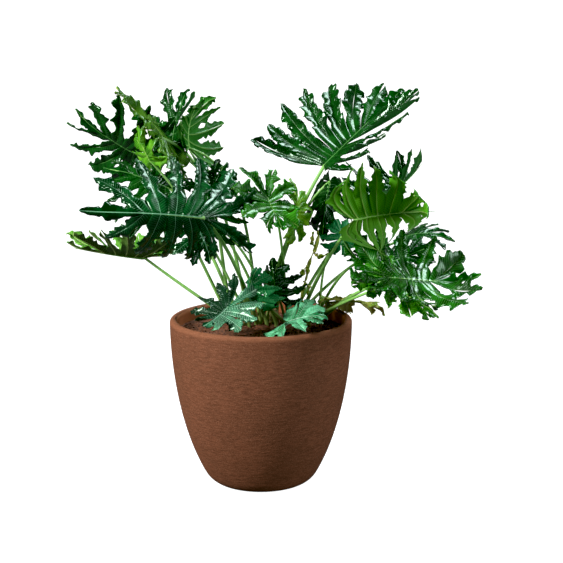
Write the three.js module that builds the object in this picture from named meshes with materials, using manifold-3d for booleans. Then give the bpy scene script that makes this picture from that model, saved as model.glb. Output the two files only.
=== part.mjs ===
// A lacy tree philodendron in a round planter: pot, soil, short crown stems, and one solid
// for each leaf with its own petiole. Millimetres, Z up, origin under the middle of the pot.
import * as THREE from "three";
import { mergeVertices } from "three/addons/utils/BufferGeometryUtils.js";
import Module from "manifold-3d";

const wasm = await Module();
wasm.setup();

// Pot: a planter 40 cm across the lip, whose side is part of an ellipse.
const POT_HEIGHT = 370;
const LIP_RADIUS = 200;
const SIDE_ELLIPSE = 444;
const FOOT_FLAT_RADIUS = 88;
const FOOT_ROUND = 20;
const WALL = 17;
const LIP_ROUND = WALL / 2;
const SEGMENTS = 44;

// Soil: fills the pot to a little below the lip.
const SOIL_TOP = 342;
const SOIL_MOUND = 5;
const GAP = 0.3;

// Crowns: short stems in the soil, each with a ring of petioles round it.
const CROWN_RADIUS = 12;
const CROWN_HEIGHT = 36;
const CROWN_DEPTH = 20;
const PETIOLE_DEPTH = 16;
const CROWNS = {
  left: { at: [-38, 42], ring: 31 },
  middle: { at: [28, 52], ring: 31 },
  right: { at: [100, 72], ring: 34 },
};

// Blade thickness at the junction, along the side ribs and at the cut edge.
const MIDRIB_THICK = 5;
const RIB_THICK = 2.2;
const TIP_THICK = 1.1;
const EDGE_THICK = 0.9;

// A lobe's edge: how far along the free part of the rib each point is, and the width there.
const EDGE_POINTS = [
  [0.4, 1.08],
  [0.84, 0.8],
];

// Half of what stays open behind the joint, between the lowest lobes of the two sides.
const BACK_GAP = 1.2;

// Each leaf: its crown and its place in the ring there, the top end of its petiole (joint) and
// the far end of its blade (tip). Then angles in degrees: the blade's turn about its midrib
// (roll), the midrib's downward arch (bend), how far each half hangs where it starts (left,
// right) and how far it goes on curling down over a blade's length (curl). arch lifts the
// petiole's middle. The outline: length of the lobes at the back against the tip (back), waist
// (pinch), the angle the lobes fan over on a side (spread), how far the ends of the lobes hang
// as a share of their length (droop), the lobes on a side (count), how far the cuts between
// lobes stay from the midrib as a share of the ribs (cut), and the width of the lobes (broad).
const LEAVES = {
  top_right: {
    crown: "middle", place: 8, joint: [137, 42, 699], tip: [318, 154, 854],
    roll: -15, bend: 6, left: -8, right: -26, curl: -3, arch: 0.300,
    back: 0.72, pinch: 0.13, spread: 98, droop: -0.020, count: 7,
    cut: 0.28, broad: 1.15, colour: 0x1d5a2c,
  },
  right_under: {
    crown: "right", place: 1, joint: [198.1, -102, 600.1], tip: [374.9, -165.3, 625.8],
    roll: 83, bend: 59, left: 76, right: 18, curl: 4, arch: 0.236,
    back: 0.71, pinch: 0.13, spread: 124, droop: 0.530, count: 6,
    cut: 0.34, broad: 1.15, colour: 0x3f8f2c,
  },
  right_inner: {
    crown: "right", place: 3, joint: [174, -6, 536], tip: [163.7, 4.5, 586.9],
    roll: 15, bend: 56, left: 25, right: -15, curl: 21, arch: 0.800,
    back: 0.77, pinch: 0.01, spread: 145, droop: 0.060, count: 4,
    cut: 0.5, broad: 1.5, colour: 0x2a7345,
  },
  dark_inner: {
    crown: "middle", place: 7, joint: [150.6, 41.4, 665.1], tip: [133.5, 12.7, 526.2],
    roll: 22, bend: 80, left: 49, right: 45, curl: 41, arch: 0.549,
    back: 0.65, pinch: 0.1, spread: 139, droop: 0.230, count: 5,
    cut: 0.3, broad: 1.25, colour: 0x123d1c,
  },
  right_low: {
    crown: "right", place: 5, joint: [258, -71, 500], tip: [362, -61, 540],
    roll: -38, bend: -23, left: 0, right: 6, curl: 12, arch: 0.800,
    back: 0.6, pinch: 0.05, spread: 150, droop: 0.130, count: 6,
    cut: 0.3, broad: 1.15, colour: 0x1f6a35,
  },
  far_right: {
    crown: "right", place: 4, joint: [264.9, -213.1, 498.2], tip: [446.8, -173, 475.2],
    roll: -26.2, bend: 2, left: -5, right: -7, curl: 19, arch: 0.102,
    back: 0.61, pinch: 0.15, spread: 146, droop: -0.299, count: 6,
    cut: 0.3, broad: 1.2, colour: 0x215f2c,
  },
  right_pale: {
    crown: "right", place: 2, joint: [260, -177, 475], tip: [370, -196, 415],
    roll: -13, bend: 11, left: -17, right: -8, curl: 2, arch: 0.080,
    back: 0.72, pinch: 0.04, spread: 133, droop: 0.070, count: 5,
    cut: 0.3, broad: 1.15, colour: 0x4a9a3a,
  },
  back_top_right: {
    crown: "right", place: 8, joint: [280, 149, 621], tip: [377, 219, 696],
    roll: 10, bend: -26, left: -26, right: -30, curl: -9, arch: 0.350,
    back: 0.73, pinch: 0.05, spread: 157, droop: -0.210, count: 5,
    cut: 0.25, broad: 1, colour: 0x17431f,
  },
  back_right: {
    crown: "right", place: 7, joint: [307, 47, 534], tip: [420, 14, 532],
    roll: -28, bend: 83, left: 14, right: -5, curl: 29, arch: 0.291,
    back: 0.69, pinch: -0.01, spread: 122, droop: -0.050, count: 5,
    cut: 0.25, broad: 1, colour: 0x1b4f25,
  },
  centre: {
    crown: "middle", place: 4, joint: [16.2, -102.7, 646.3], tip: [50, -142, 585],
    roll: 12, bend: -13, left: -10, right: 11, curl: -7, arch: 0.723,
    back: 1, pinch: -0.13, spread: 146, droop: 0.060, count: 4,
    cut: 0.38, broad: 1.5, colour: 0x2e8433,
  },
  centre_yellow: {
    crown: "middle", place: 6, joint: [78, -18, 618], tip: [61, -37, 532],
    roll: 76, bend: 23, left: 16, right: -38, curl: 10, arch: 0.477,
    back: 0.69, pinch: 0.2, spread: 141, droop: 0.119, count: 4,
    cut: 0.4, broad: 1.25, colour: 0x6f9a35,
  },
  big_left: {
    crown: "left", place: 3, joint: [-110, -219, 622.1], tip: [-344.5, -233.6, 633.1],
    roll: 71.7, bend: 46, left: 45, right: 18, curl: 60, arch: 0.285,
    back: 0.77, pinch: 0.1, spread: 151, droop: -0.220, count: 6,
    cut: 0.22, broad: 1.05, colour: 0x1b5540,
  },
  left_inner: {
    crown: "middle", place: 1, joint: [-120.4, -35.5, 603.5], tip: [-73.1, -36.7, 716.7],
    roll: -50.7, bend: 22, left: 14, right: 14, curl: 18, arch: 0.394,
    back: 0.8, pinch: 0.1, spread: 122, droop: 0.100, count: 6,
    cut: 0.28, broad: 1.1, colour: 0x15492a,
  },
  left_droop: {
    crown: "middle", place: 2, joint: [-137, -118.5, 600.1], tip: [-100, -131.5, 511.7],
    roll: -35, bend: 30, left: 14, right: 10, curl: 30, arch: 0.672,
    back: 0.7, pinch: 0.1, spread: 150, droop: 0.100, count: 5,
    cut: 0.28, broad: 1.15, colour: 0x1c5a30,
  },
  far_left: {
    crown: "left", place: 1, joint: [-254.1, 20.6, 499.2], tip: [-421.4, -15, 530.5],
    roll: 0, bend: -8, left: -32, right: -12, curl: 8, arch: -0.031,
    back: 0.63, pinch: 0.07, spread: 134, droop: -0.080, count: 6,
    cut: 0.25, broad: 1.1, colour: 0x2a5a26,
  },
  top_left: {
    crown: "left", place: 6, joint: [-274.8, 107.3, 715.3], tip: [-408.9, 72.6, 817.2],
    roll: 140, bend: 22, left: 2, right: 2, curl: 10, arch: 0.402,
    back: 0.9, pinch: 0.05, spread: 118, droop: 0.050, count: 5,
    cut: 0.2, broad: 0.95, colour: 0x17472a,
  },
  top_left_olive: {
    crown: "left", place: 7, joint: [-204.5, -45.6, 766.4], tip: [-307.6, 2.4, 868.8],
    roll: -19, bend: 21, left: 4, right: 4, curl: -6, arch: 0.784,
    back: 0.65, pinch: 0.11, spread: 150, droop: 0.020, count: 5,
    cut: 0.3, broad: 1.2, colour: 0x4f7a35,
  },
  left_young: {
    crown: "left", place: 2, joint: [-230.4, -76.2, 720.6], tip: [-255.4, -57.2, 793],
    roll: 118.3, bend: 24, left: 4, right: 4, curl: 12, arch: 0.297,
    back: 0.85, pinch: 0.05, spread: 105, droop: 0.000, count: 3,
    cut: 0.35, broad: 1.3, colour: 0x5f9f3c,
  },
  top_mid: {
    crown: "middle", place: 0, joint: [-157, 26.2, 738.3], tip: [-123.2, 22.7, 848.7],
    roll: 47, bend: 85, left: -21, right: 37, curl: 14, arch: 0.800,
    back: 0.82, pinch: -0.03, spread: 120, droop: 0.100, count: 6,
    cut: 0.35, broad: 1.25, colour: 0x23702f,
  },
  back_top: {
    crown: "left", place: 5, joint: [-203.3, 157.6, 722.5], tip: [-163.9, 190.1, 855.9],
    roll: -15, bend: 42, left: 7, right: -25, curl: -22, arch: 0.714,
    back: 0.72, pinch: -0.08, spread: 120, droop: -0.050, count: 4,
    cut: 0.25, broad: 1.1, colour: 0x16401f,
  },
  left_back: {
    crown: "left", place: 0, joint: [-196.1, -42.8, 660.1], tip: [-336.4, -8, 699.3],
    roll: 38, bend: 23, left: 0, right: 15, curl: 41, arch: -0.046,
    back: 0.73, pinch: -0.01, spread: 120, droop: 0.038, count: 6,
    cut: 0.25, broad: 1.1, colour: 0x2a6f35,
  },
  low_left: {
    crown: "left", place: 4, joint: [-68.9, -88.9, 410.9], tip: [-117, -147.5, 383.1],
    roll: 21, bend: -29, left: -13, right: 12, curl: 9, arch: 0.667,
    back: 0.98, pinch: -0.03, spread: 153, droop: -0.050, count: 5,
    cut: 0.42, broad: 1.3, colour: 0x1f6a4a,
  },
  low_mid: {
    crown: "middle", place: 3, joint: [-22.1, -69.4, 429.1], tip: [-5.1, -74.5, 497.1],
    roll: -59.9, bend: 39, left: 24, right: 18, curl: 38, arch: 0.111,
    back: 0.85, pinch: 0.02, spread: 120, droop: 0.170, count: 4,
    cut: 0.42, broad: 1.35, colour: 0x1f6a3c,
  },
  small_dark: {
    crown: "middle", place: 5, joint: [35, -25, 422.2], tip: [23.1, 3.2, 506.3],
    roll: 34.8, bend: 42, left: 42, right: 30, curl: 35, arch: 0.258,
    back: 0.81, pinch: 0.05, spread: 129, droop: 0.190, count: 4,
    cut: 0.35, broad: 1.2, colour: 0x174a28,
  },
  low_right: {
    crown: "right", place: 0, joint: [60, -102.5, 382.1], tip: [143, -126, 398],
    roll: -37.1, bend: 42, left: 6, right: -32, curl: 8, arch: 0.031,
    back: 0.81, pinch: 0.02, spread: 111, droop: 0.140, count: 4,
    cut: 0.42, broad: 1.35, colour: 0x4a9a70,
  },
  small_right: {
    crown: "right", place: 6, joint: [183, 57, 396], tip: [278, 45, 367],
    roll: 14, bend: 37, left: 13, right: -7, curl: 7, arch: 0.640,
    back: 0.71, pinch: -0.01, spread: 132, droop: 0.020, count: 3,
    cut: 0.3, broad: 1.1, colour: 0x4f7f3a,
  },
};

const UP = new THREE.Vector3(0, 0, 1);
const rad = THREE.MathUtils.degToRad;
const clamp01 = (value) => Math.min(1, Math.max(0, value));

// A repeatable draw between -1 and 1 for each leaf, lobe and purpose.
function draw(seed, lobe, purpose) {
  const mixed = Math.sin(seed * 12.9898 + lobe * 78.233 + purpose * 37.719) * 43758.5453;
  return 2 * (mixed - Math.floor(mixed)) - 1;
}

function solidFrom(geometry) {
  const bare = geometry.clone();
  bare.deleteAttribute("normal");
  bare.deleteAttribute("uv");
  const merged = mergeVertices(bare, 1e-3);
  const solid = new wasm.Manifold(
    new wasm.Mesh({
      numProp: 3,
      vertProperties: merged.attributes.position.array,
      triVerts: new Uint32Array(merged.index.array),
    }),
  );
  return solid;
}

function geometryFrom(solid) {
  const mesh = solid.getMesh();
  const geometry = new THREE.BufferGeometry();
  geometry.setAttribute("position", new THREE.BufferAttribute(mesh.vertProperties, 3));
  geometry.setIndex(new THREE.BufferAttribute(mesh.triVerts, 1));
  geometry.computeVertexNormals();
  return geometry;
}

// A closed profile of [radius, height] pairs turned round the Z axis.
function turned(profile, segments) {
  const points = profile.map(([radius, height]) => new THREE.Vector2(radius, height));
  return new THREE.LatheGeometry(points, segments).rotateX(Math.PI / 2);
}

const sideRadius = (height) =>
  LIP_RADIUS * Math.sqrt(1 - ((POT_HEIGHT - height) / SIDE_ELLIPSE) ** 2);

function potProfile() {
  const profile = [
    [0, 0],
    [FOOT_FLAT_RADIUS, 0],
    [FOOT_FLAT_RADIUS + 0.6 * FOOT_ROUND, 0.22 * FOOT_ROUND],
    [sideRadius(FOOT_ROUND) - 3, 0.75 * FOOT_ROUND],
  ];
  const lipHeight = POT_HEIGHT - LIP_ROUND;
  const rises = [1.6 * FOOT_ROUND, 60, 95, 135, 180, 230, 285];
  rises.forEach((height) => profile.push([sideRadius(height), height]));
  for (let step = 0; step <= 6; step++) {
    const turn = (Math.PI * step) / 6;
    profile.push([
      LIP_RADIUS - LIP_ROUND + LIP_ROUND * Math.cos(turn),
      lipHeight + LIP_ROUND * Math.sin(turn),
    ]);
  }
  innerProfile(0).forEach((point) => profile.push(point));
  return profile;
}

// The inside wall from the soil line to the middle of the floor, set in by the gap.
function innerProfile(gap) {
  const profile = [SOIL_TOP, 285, 210, 140, 80, 50].map((height) => [
    sideRadius(height) - WALL - gap,
    height,
  ]);
  profile.push([sideRadius(50) - WALL - 24 - gap, WALL + gap]);
  profile.push([0, WALL + gap]);
  return profile;
}

// Petiole sizes grow with the blade.
const footRadius = (length) => 3 + length / 62;
const neckRadius = (length) => 1.6 + length / 140;

// The blade's own frame at its junction, from chord, roll and bend.
function bladeFrame(leaf) {
  const joint = new THREE.Vector3(...leaf.joint);
  const chord = new THREE.Vector3(...leaf.tip).sub(joint);
  const reach = chord.length();
  chord.divideScalar(reach);
  const level = UP.clone().addScaledVector(chord, -chord.z).normalize();
  const beam = level.clone().cross(chord);
  const face = level.multiplyScalar(Math.cos(rad(leaf.roll)));
  face.addScaledVector(beam, Math.sin(rad(leaf.roll)));
  const half = rad(leaf.bend) / 2;
  const ahead = chord.clone().multiplyScalar(Math.cos(half));
  ahead.addScaledVector(face, Math.sin(half));
  const normal = face.clone().multiplyScalar(Math.cos(half));
  normal.addScaledVector(chord, -Math.sin(half));
  const length = (reach * half) / Math.sin(half);
  const across = normal.clone().cross(ahead);
  return { joint, ahead, normal, across, length, turn: (2 * half) / length };
}

// Where a point of the flat blade goes once the midrib arches and both halves curl.
function onBlade(frame, leaf, x, y, lift) {
  const hang = rad(y >= 0 ? leaf.left : leaf.right);
  const curl = rad(leaf.curl) / frame.length;
  const far = hang + curl * Math.abs(y);
  const out = (Math.sin(far) - Math.sin(hang)) / curl;
  const down = (Math.cos(hang) - Math.cos(far)) / curl;
  const angle = frame.turn * x;
  const point = frame.joint.clone();
  point.addScaledVector(frame.ahead, Math.sin(angle) / frame.turn);
  point.addScaledVector(frame.normal, (Math.cos(angle) - 1) / frame.turn);
  point.addScaledVector(frame.across, Math.sign(y) * out);
  point.addScaledVector(frame.normal, Math.cos(angle) * (lift - down));
  point.addScaledVector(frame.ahead, Math.sin(angle) * (lift - down));
  return point;
}

// Half the width of a lobe: the more lobes, the narrower.
const lobeHalf = (leaf, length) => length * (0.3 / leaf.count + 0.012) * leaf.broad;

// The lobes of one half: rib from the midrib to the lobe's end, in the flat blade.
function lobesOf(leaf, length, side) {
  const lobes = [];
  for (let i = 1; i <= leaf.count; i++) {
    const fan = (rad(leaf.spread) * (i - 0.25)) / (leaf.count - 0.25);
    const outline =
      (1 - ((1 - leaf.back) * (1 - Math.cos(fan))) / 2) *
      (1 - leaf.pinch * Math.sin(fan) ** 2) *
      (1 + 0.07 * draw(leaf.seed, i * side, 1));
    const start = Math.max(0, 0.66 * (1 - i / leaf.count) ** 1.3 - 0.02) * length;
    const end = [outline * length * Math.cos(fan), outline * length * Math.sin(fan) * side];
    const span = Math.hypot(end[0] - start, end[1]);
    lobes.push({
      start: [start, 0],
      end,
      span,
      side,
      half: lobeHalf(leaf, length) * (1 + 0.15 * draw(leaf.seed, i * side, 2)),
      twist: rad(22) * draw(leaf.seed, i * side, 3),
      bow: 0.05 * side,
      index: i,
    });
  }
  return lobes;
}

// A point of a lobe: along the rib by t, then sideways by s, positive towards the leaf tip.
function onLobe(lobe, t, s) {
  const [x0, y0] = lobe.start;
  const dx = lobe.end[0] - x0;
  const dy = lobe.end[1] - y0;
  const forward = [(dy / lobe.span) * lobe.side, (-dx / lobe.span) * lobe.side];
  const bow = -4 * Math.abs(lobe.bow) * lobe.span * t * (1 - t);
  return [x0 + dx * t + forward[0] * (s + bow), y0 + dy * t + forward[1] * (s + bow)];
}

const loose = (leaf, t) => clamp01((t - leaf.cut) / (1 - leaf.cut));

function liftOf(leaf, lobe, t, s) {
  const free = loose(leaf, t);
  return -leaf.droop * lobe.span * free ** 2 + s * Math.tan(lobe.twist) * Math.min(1, 3 * free);
}

// The blade as one closed sheet: alike on both faces, thick at the ribs, thin at the edges.
function bladeSolid(leaf, frame) {
  const { length } = frame;
  const points = [];
  const thick = [];
  const faces = [];
  const put = (x, y, lift, thickness) => {
    points.push(onBlade(frame, leaf, x, y, lift));
    thick.push(thickness);
    return points.length - 1;
  };
  const midrib = (x) => MIDRIB_THICK + (TIP_THICK - MIDRIB_THICK) * clamp01(x / length) ** 0.7;
  const spine = lobesOf(leaf, length, 1).map((lobe) => [lobe.start[0], 0]);
  const joints = spine.map(([x]) => put(x, 0, 0, midrib(x)));
  const last = { start: spine[0], end: [length, 0], span: length - spine[0][0] };
  Object.assign(last, { side: 1, index: 0, twist: 0, bow: 0, half: lobeHalf(leaf, length) });
  const lastRibs = [0.4, 0.74, 1].map((t) => {
    const [x] = onLobe(last, t, 0);
    return put(x, 0, 0, midrib(x));
  });
  const face = (side, a, b, c) => faces.push(side > 0 ? [a, b, c] : [a, c, b]);
  // One side of one lobe, from the sinus to the lobe's end.
  const flank = (lobe, towards, side, rib, root, sinus) => {
    const turn = lobe.index ? -towards * side : side;
    const edges = EDGE_POINTS.map(([along, share], k) => {
      const seed = leaf.seed + 0.37 * k;
      const ragged = 1 + 0.18 * draw(seed, lobe.index * side, 6 + towards);
      const t = leaf.cut + (1 - leaf.cut) * along + 0.05 * draw(seed, lobe.index * side, 10 + towards);
      const reach = towards * lobe.half * share * ragged;
      const wave = 0.2 * lobe.half * draw(seed, lobe.index * side, 14 + towards);
      const [x, y] = onLobe(lobe, t, reach);
      const lift = liftOf(leaf, lobe, t, reach) + wave;
      const out = Math.max(BACK_GAP, lobe.index ? side * y : Math.abs(y));
      return put(x, side * out, lift, EDGE_THICK);
    });
    face(turn, root, rib[0], sinus);
    face(turn, rib[0], edges[0], sinus);
    face(turn, rib[0], rib[1], edges[0]);
    face(turn, rib[1], edges[1], edges[0]);
    face(turn, rib[1], rib[2], edges[1]);
  };
  for (const side of [1, -1]) {
    const lobes = lobesOf(leaf, length, side);
    const chain = [{ ...last, side }, ...lobes];
    const sinuses = lobes.map((lobe, i) => {
      const a = onLobe(chain[i], leaf.cut + (i ? 0 : 0.1), 0);
      const b = onLobe(lobe, leaf.cut, 0);
      return put((a[0] + b[0]) / 2, (a[1] + b[1]) / 2, 0, EDGE_THICK);
    });
    flank(last, 1, side, lastRibs, joints[0], sinuses[0]);
    lobes.forEach((lobe, i) => {
      const rib = [leaf.cut + 0.04, 0.57 + 0.43 * leaf.cut, 1].map((t) => {
        const [x, y] = onLobe(lobe, t, 0);
        const thickness = RIB_THICK + (TIP_THICK - RIB_THICK) * loose(leaf, t);
        return put(x, y, liftOf(leaf, lobe, t, 0), thickness);
      });
      flank(lobe, 1, side, rib, joints[i], sinuses[i]);
      const lowest = i === lobes.length - 1;
      const notch = lowest ? onLobe(lobe, 0.3, -0.7 * lobe.half) : null;
      if (lowest) notch[1] = side * Math.max(BACK_GAP, side * notch[1]);
      const back = lowest ? put(notch[0], notch[1], 0, EDGE_THICK) : sinuses[i + 1];
      flank(lobe, -1, side, rib, joints[i], back);
      if (!lowest) face(side, joints[i], sinuses[i + 1], joints[i + 1]);
    });
  }
  return sheet(points, thick, faces);
}

// Gives a surface of triangles its thickness and closes it along its edge.
function sheet(points, thick, faces) {
  const normals = points.map(() => new THREE.Vector3());
  const edge = new Map();
  for (const [a, b, c] of faces) {
    const ab = points[b].clone().sub(points[a]);
    const normal = ab.cross(points[c].clone().sub(points[a]));
    [a, b, c].forEach((corner) => normals[corner].add(normal));
    [[a, b], [b, c], [c, a]].forEach(([from, to]) => {
      if (!edge.delete(to + "," + from)) edge.set(from + "," + to, [from, to]);
    });
  }
  const count = points.length;
  const corners = [];
  for (const sign of [0.5, -0.5]) {
    points.forEach((point, i) => {
      const moved = point.clone().addScaledVector(normals[i].clone().normalize(), sign * thick[i]);
      corners.push(...moved.toArray());
    });
  }
  const index = [];
  faces.forEach(([a, b, c]) => index.push(a, b, c, a + count, c + count, b + count));
  edge.forEach(([from, to]) => index.push(from, from + count, to, to, from + count, to + count));
  const geometry = new THREE.BufferGeometry();
  geometry.setAttribute("position", new THREE.Float32BufferAttribute(corners, 3));
  geometry.setIndex(index);
  return solidFrom(geometry);
}

// A closed six-sided tube along a row of centres, each with its own radius.
function tube(centres, radii) {
  const sides = 6;
  const corners = [];
  const index = [];
  let beam = new THREE.Vector3(1, 0, 0);
  centres.forEach((centre, i) => {
    const before = centres[Math.max(0, i - 1)];
    const after = centres[Math.min(centres.length - 1, i + 1)];
    const along = after.clone().sub(before).normalize();
    beam = beam.clone().addScaledVector(along, -beam.dot(along)).normalize();
    const other = along.clone().cross(beam);
    for (let k = 0; k < sides; k++) {
      const turn = (2 * Math.PI * k) / sides;
      const corner = centre.clone().addScaledVector(beam, radii[i] * Math.cos(turn));
      corners.push(...corner.addScaledVector(other, radii[i] * Math.sin(turn)).toArray());
    }
  });
  for (let i = 0; i + 1 < centres.length; i++) {
    for (let k = 0; k < sides; k++) {
      const next = (k + 1) % sides;
      const [a, b] = [i * sides + k, i * sides + next];
      index.push(a, b, a + sides, b, b + sides, a + sides);
    }
  }
  const top = (centres.length - 1) * sides;
  for (let k = 1; k + 1 < sides; k++) index.push(0, k + 1, k, top, top + k, top + k + 1);
  const geometry = new THREE.BufferGeometry();
  geometry.setAttribute("position", new THREE.Float32BufferAttribute(corners, 3));
  geometry.setIndex(index);
  return solidFrom(geometry);
}

// The petiole: upright in the soil, then leaning out in one long curve to the blade.
function petioleSolid(leaf, frame) {
  const foot = new THREE.Vector3(leaf.foot[0], leaf.foot[1], SOIL_TOP + 10);
  const way = frame.joint.clone().sub(foot);
  const far = way.length();
  way.divideScalar(far);
  const rising = way.clone().addScaledVector(UP, leaf.arch).normalize();
  const leaning = way.clone().addScaledVector(UP, -leaf.arch).normalize();
  const curve = new THREE.CubicBezierCurve3(
    foot,
    foot.clone().addScaledVector(rising, 0.36 * far),
    frame.joint.clone().addScaledVector(leaning, -0.36 * far),
    frame.joint,
  );
  const steps = Math.max(4, Math.round(far / 54));
  const path = curve.getPoints(steps);
  path[steps].addScaledVector(frame.ahead, 5).addScaledVector(frame.normal, -0.6);
  const [wide, slim] = [footRadius(frame.length), neckRadius(frame.length)];
  const radii = path.map((_, i) => wide + (slim - wide) * Math.sqrt(i / steps));
  path.unshift(new THREE.Vector3(leaf.foot[0], leaf.foot[1], SOIL_TOP - PETIOLE_DEPTH));
  radii.unshift(wide);
  return tube(path, radii);
}

// A plain upright hole with six sides, as wide as the petiole and the gap.
function petioleHole(leaf, frame) {
  const low = new THREE.Vector3(leaf.foot[0], leaf.foot[1], SOIL_TOP - PETIOLE_DEPTH - GAP);
  const high = low.clone().setZ(SOIL_TOP + 30);
  const radius = footRadius(frame.length) + 2.2 * GAP;
  return tube([low, high], [radius, radius]);
}

// Petioles stand evenly round their crown, each in its own place.
function placeFeet() {
  for (const [name, crown] of Object.entries(CROWNS)) {
    const group = Object.values(LEAVES).filter((leaf) => leaf.crown === name);
    for (const leaf of group) {
      const turn = (2 * Math.PI * (leaf.place + 0.5)) / group.length - Math.PI;
      leaf.foot = [
        crown.at[0] + crown.ring * Math.cos(turn),
        crown.at[1] + crown.ring * Math.sin(turn),
      ];
    }
  }
}

const plant = new THREE.Group();

function addNode(name, geometry, colour, roughness) {
  const material = new THREE.MeshStandardMaterial({ color: colour, roughness, metalness: 0 });
  const mesh = new THREE.Mesh(geometry, material);
  mesh.name = name;
  plant.add(mesh);
  return mesh;
}

placeFeet();
addNode("pot", turned(potProfile(), SEGMENTS), 0x7a4e38, 0.85);

const soilProfile = [[0, SOIL_TOP + SOIL_MOUND]];
soilProfile.unshift([90, SOIL_TOP + 0.7 * SOIL_MOUND]);
soilProfile.unshift(...innerProfile(GAP).reverse());
let soil = solidFrom(turned(soilProfile, SEGMENTS));

for (const [name, crown] of Object.entries(CROWNS)) {
  const [x, y] = crown.at;
  const bottom = SOIL_TOP - CROWN_DEPTH;
  const top = SOIL_TOP + CROWN_HEIGHT;
  const stem = turned(
    [
      [0, bottom],
      [CROWN_RADIUS, bottom],
      [CROWN_RADIUS, SOIL_TOP + 8],
      [0.85 * CROWN_RADIUS, top - 8],
      [0.5 * CROWN_RADIUS, top],
      [0, top],
    ],
    12,
  );
  addNode("stem_" + name, stem, 0x6b5a34, 0.8).position.set(x, y, 0);
  const wide = CROWN_RADIUS + 1.2 * GAP;
  const hole = turned(
    [
      [0, bottom - GAP],
      [wide, bottom - GAP],
      [wide, top],
      [0, top],
    ],
    12,
  ).translate(x, y, 0);
  soil = soil.subtract(solidFrom(hole));
}

Object.entries(LEAVES).forEach(([name, leaf], i) => {
  leaf.seed = i + 1;
  const frame = bladeFrame(leaf);
  const solid = petioleSolid(leaf, frame).add(bladeSolid(leaf, frame));
  addNode("leaf_" + name, geometryFrom(solid), leaf.colour, 0.4);
  soil = soil.subtract(petioleHole(leaf, frame));
});
addNode("soil", geometryFrom(soil), 0x3b2418, 0.95);

export default plant;
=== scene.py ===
import math

import bmesh
import bpy
import numpy as np
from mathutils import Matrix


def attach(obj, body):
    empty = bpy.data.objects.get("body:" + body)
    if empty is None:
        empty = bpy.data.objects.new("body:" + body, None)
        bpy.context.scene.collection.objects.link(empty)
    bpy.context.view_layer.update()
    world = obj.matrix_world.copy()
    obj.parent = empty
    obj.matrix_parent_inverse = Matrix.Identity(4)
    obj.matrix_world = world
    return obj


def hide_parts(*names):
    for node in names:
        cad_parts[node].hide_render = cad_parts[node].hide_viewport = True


# %% [markdown]
# # A lacy tree philodendron in a round planter
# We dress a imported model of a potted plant: a matte planter, its soil, three short crown
# stems and one piece for each leaf. The solids give every piece its place and its form. Here
# each one is replaced by a finer mesh that follows the same rule, and gets a real finish.

# %% Load the solids
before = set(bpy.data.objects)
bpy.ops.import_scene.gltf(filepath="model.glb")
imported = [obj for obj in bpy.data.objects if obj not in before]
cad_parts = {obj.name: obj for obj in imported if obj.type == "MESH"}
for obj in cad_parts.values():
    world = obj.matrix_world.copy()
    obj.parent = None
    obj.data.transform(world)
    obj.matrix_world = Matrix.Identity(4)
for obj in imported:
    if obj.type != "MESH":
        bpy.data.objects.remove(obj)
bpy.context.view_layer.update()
MM = 0.001

# %% [markdown]
# ## Sizes of the pot, the soil and the crowns
# These are the driving sizes of the solids, in millimetres. A finer mesh made from the same
# numbers stays close to its solid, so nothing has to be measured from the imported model.

# %% Sizes
POT_HEIGHT = 370
LIP_RADIUS = 200
SIDE_ELLIPSE = 444
FOOT_FLAT_RADIUS = 88
WALL = 17
LIP_ROUND = WALL / 2
SOIL_TOP = 342
SOIL_MOUND = 5
GAP = 0.3
CROWN_RADIUS = 12
CROWN_HEIGHT = 36
CROWN_DEPTH = 20
PETIOLE_DEPTH = 16
CROWNS = {
    "left": {"at": (-38, 42), "ring": 31},
    "middle": {"at": (28, 52), "ring": 31},
    "right": {"at": (100, 72), "ring": 34},
}
EDGE_POINTS = [(0.4, 1.08), (0.84, 0.8)]
BACK_GAP = 1.2
print("pot, mm:", POT_HEIGHT, "tall and", 2 * LIP_RADIUS, "across")

# %% [markdown]
# ## One row of numbers for each leaf
# A leaf of this plant is a long round stalk and one blade, cut nearly to the midrib into
# narrow lobes. A row says which crown it grows from, its place in the ring there, where the
# stalk ends (joint) and where the blade ends (tip). Then come the angles that turn, arch, hang
# and curl the blade, in degrees, the lift of the stalk's middle (arch) and the rule of the
# outline. The last word is the tone of its finish.

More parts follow.
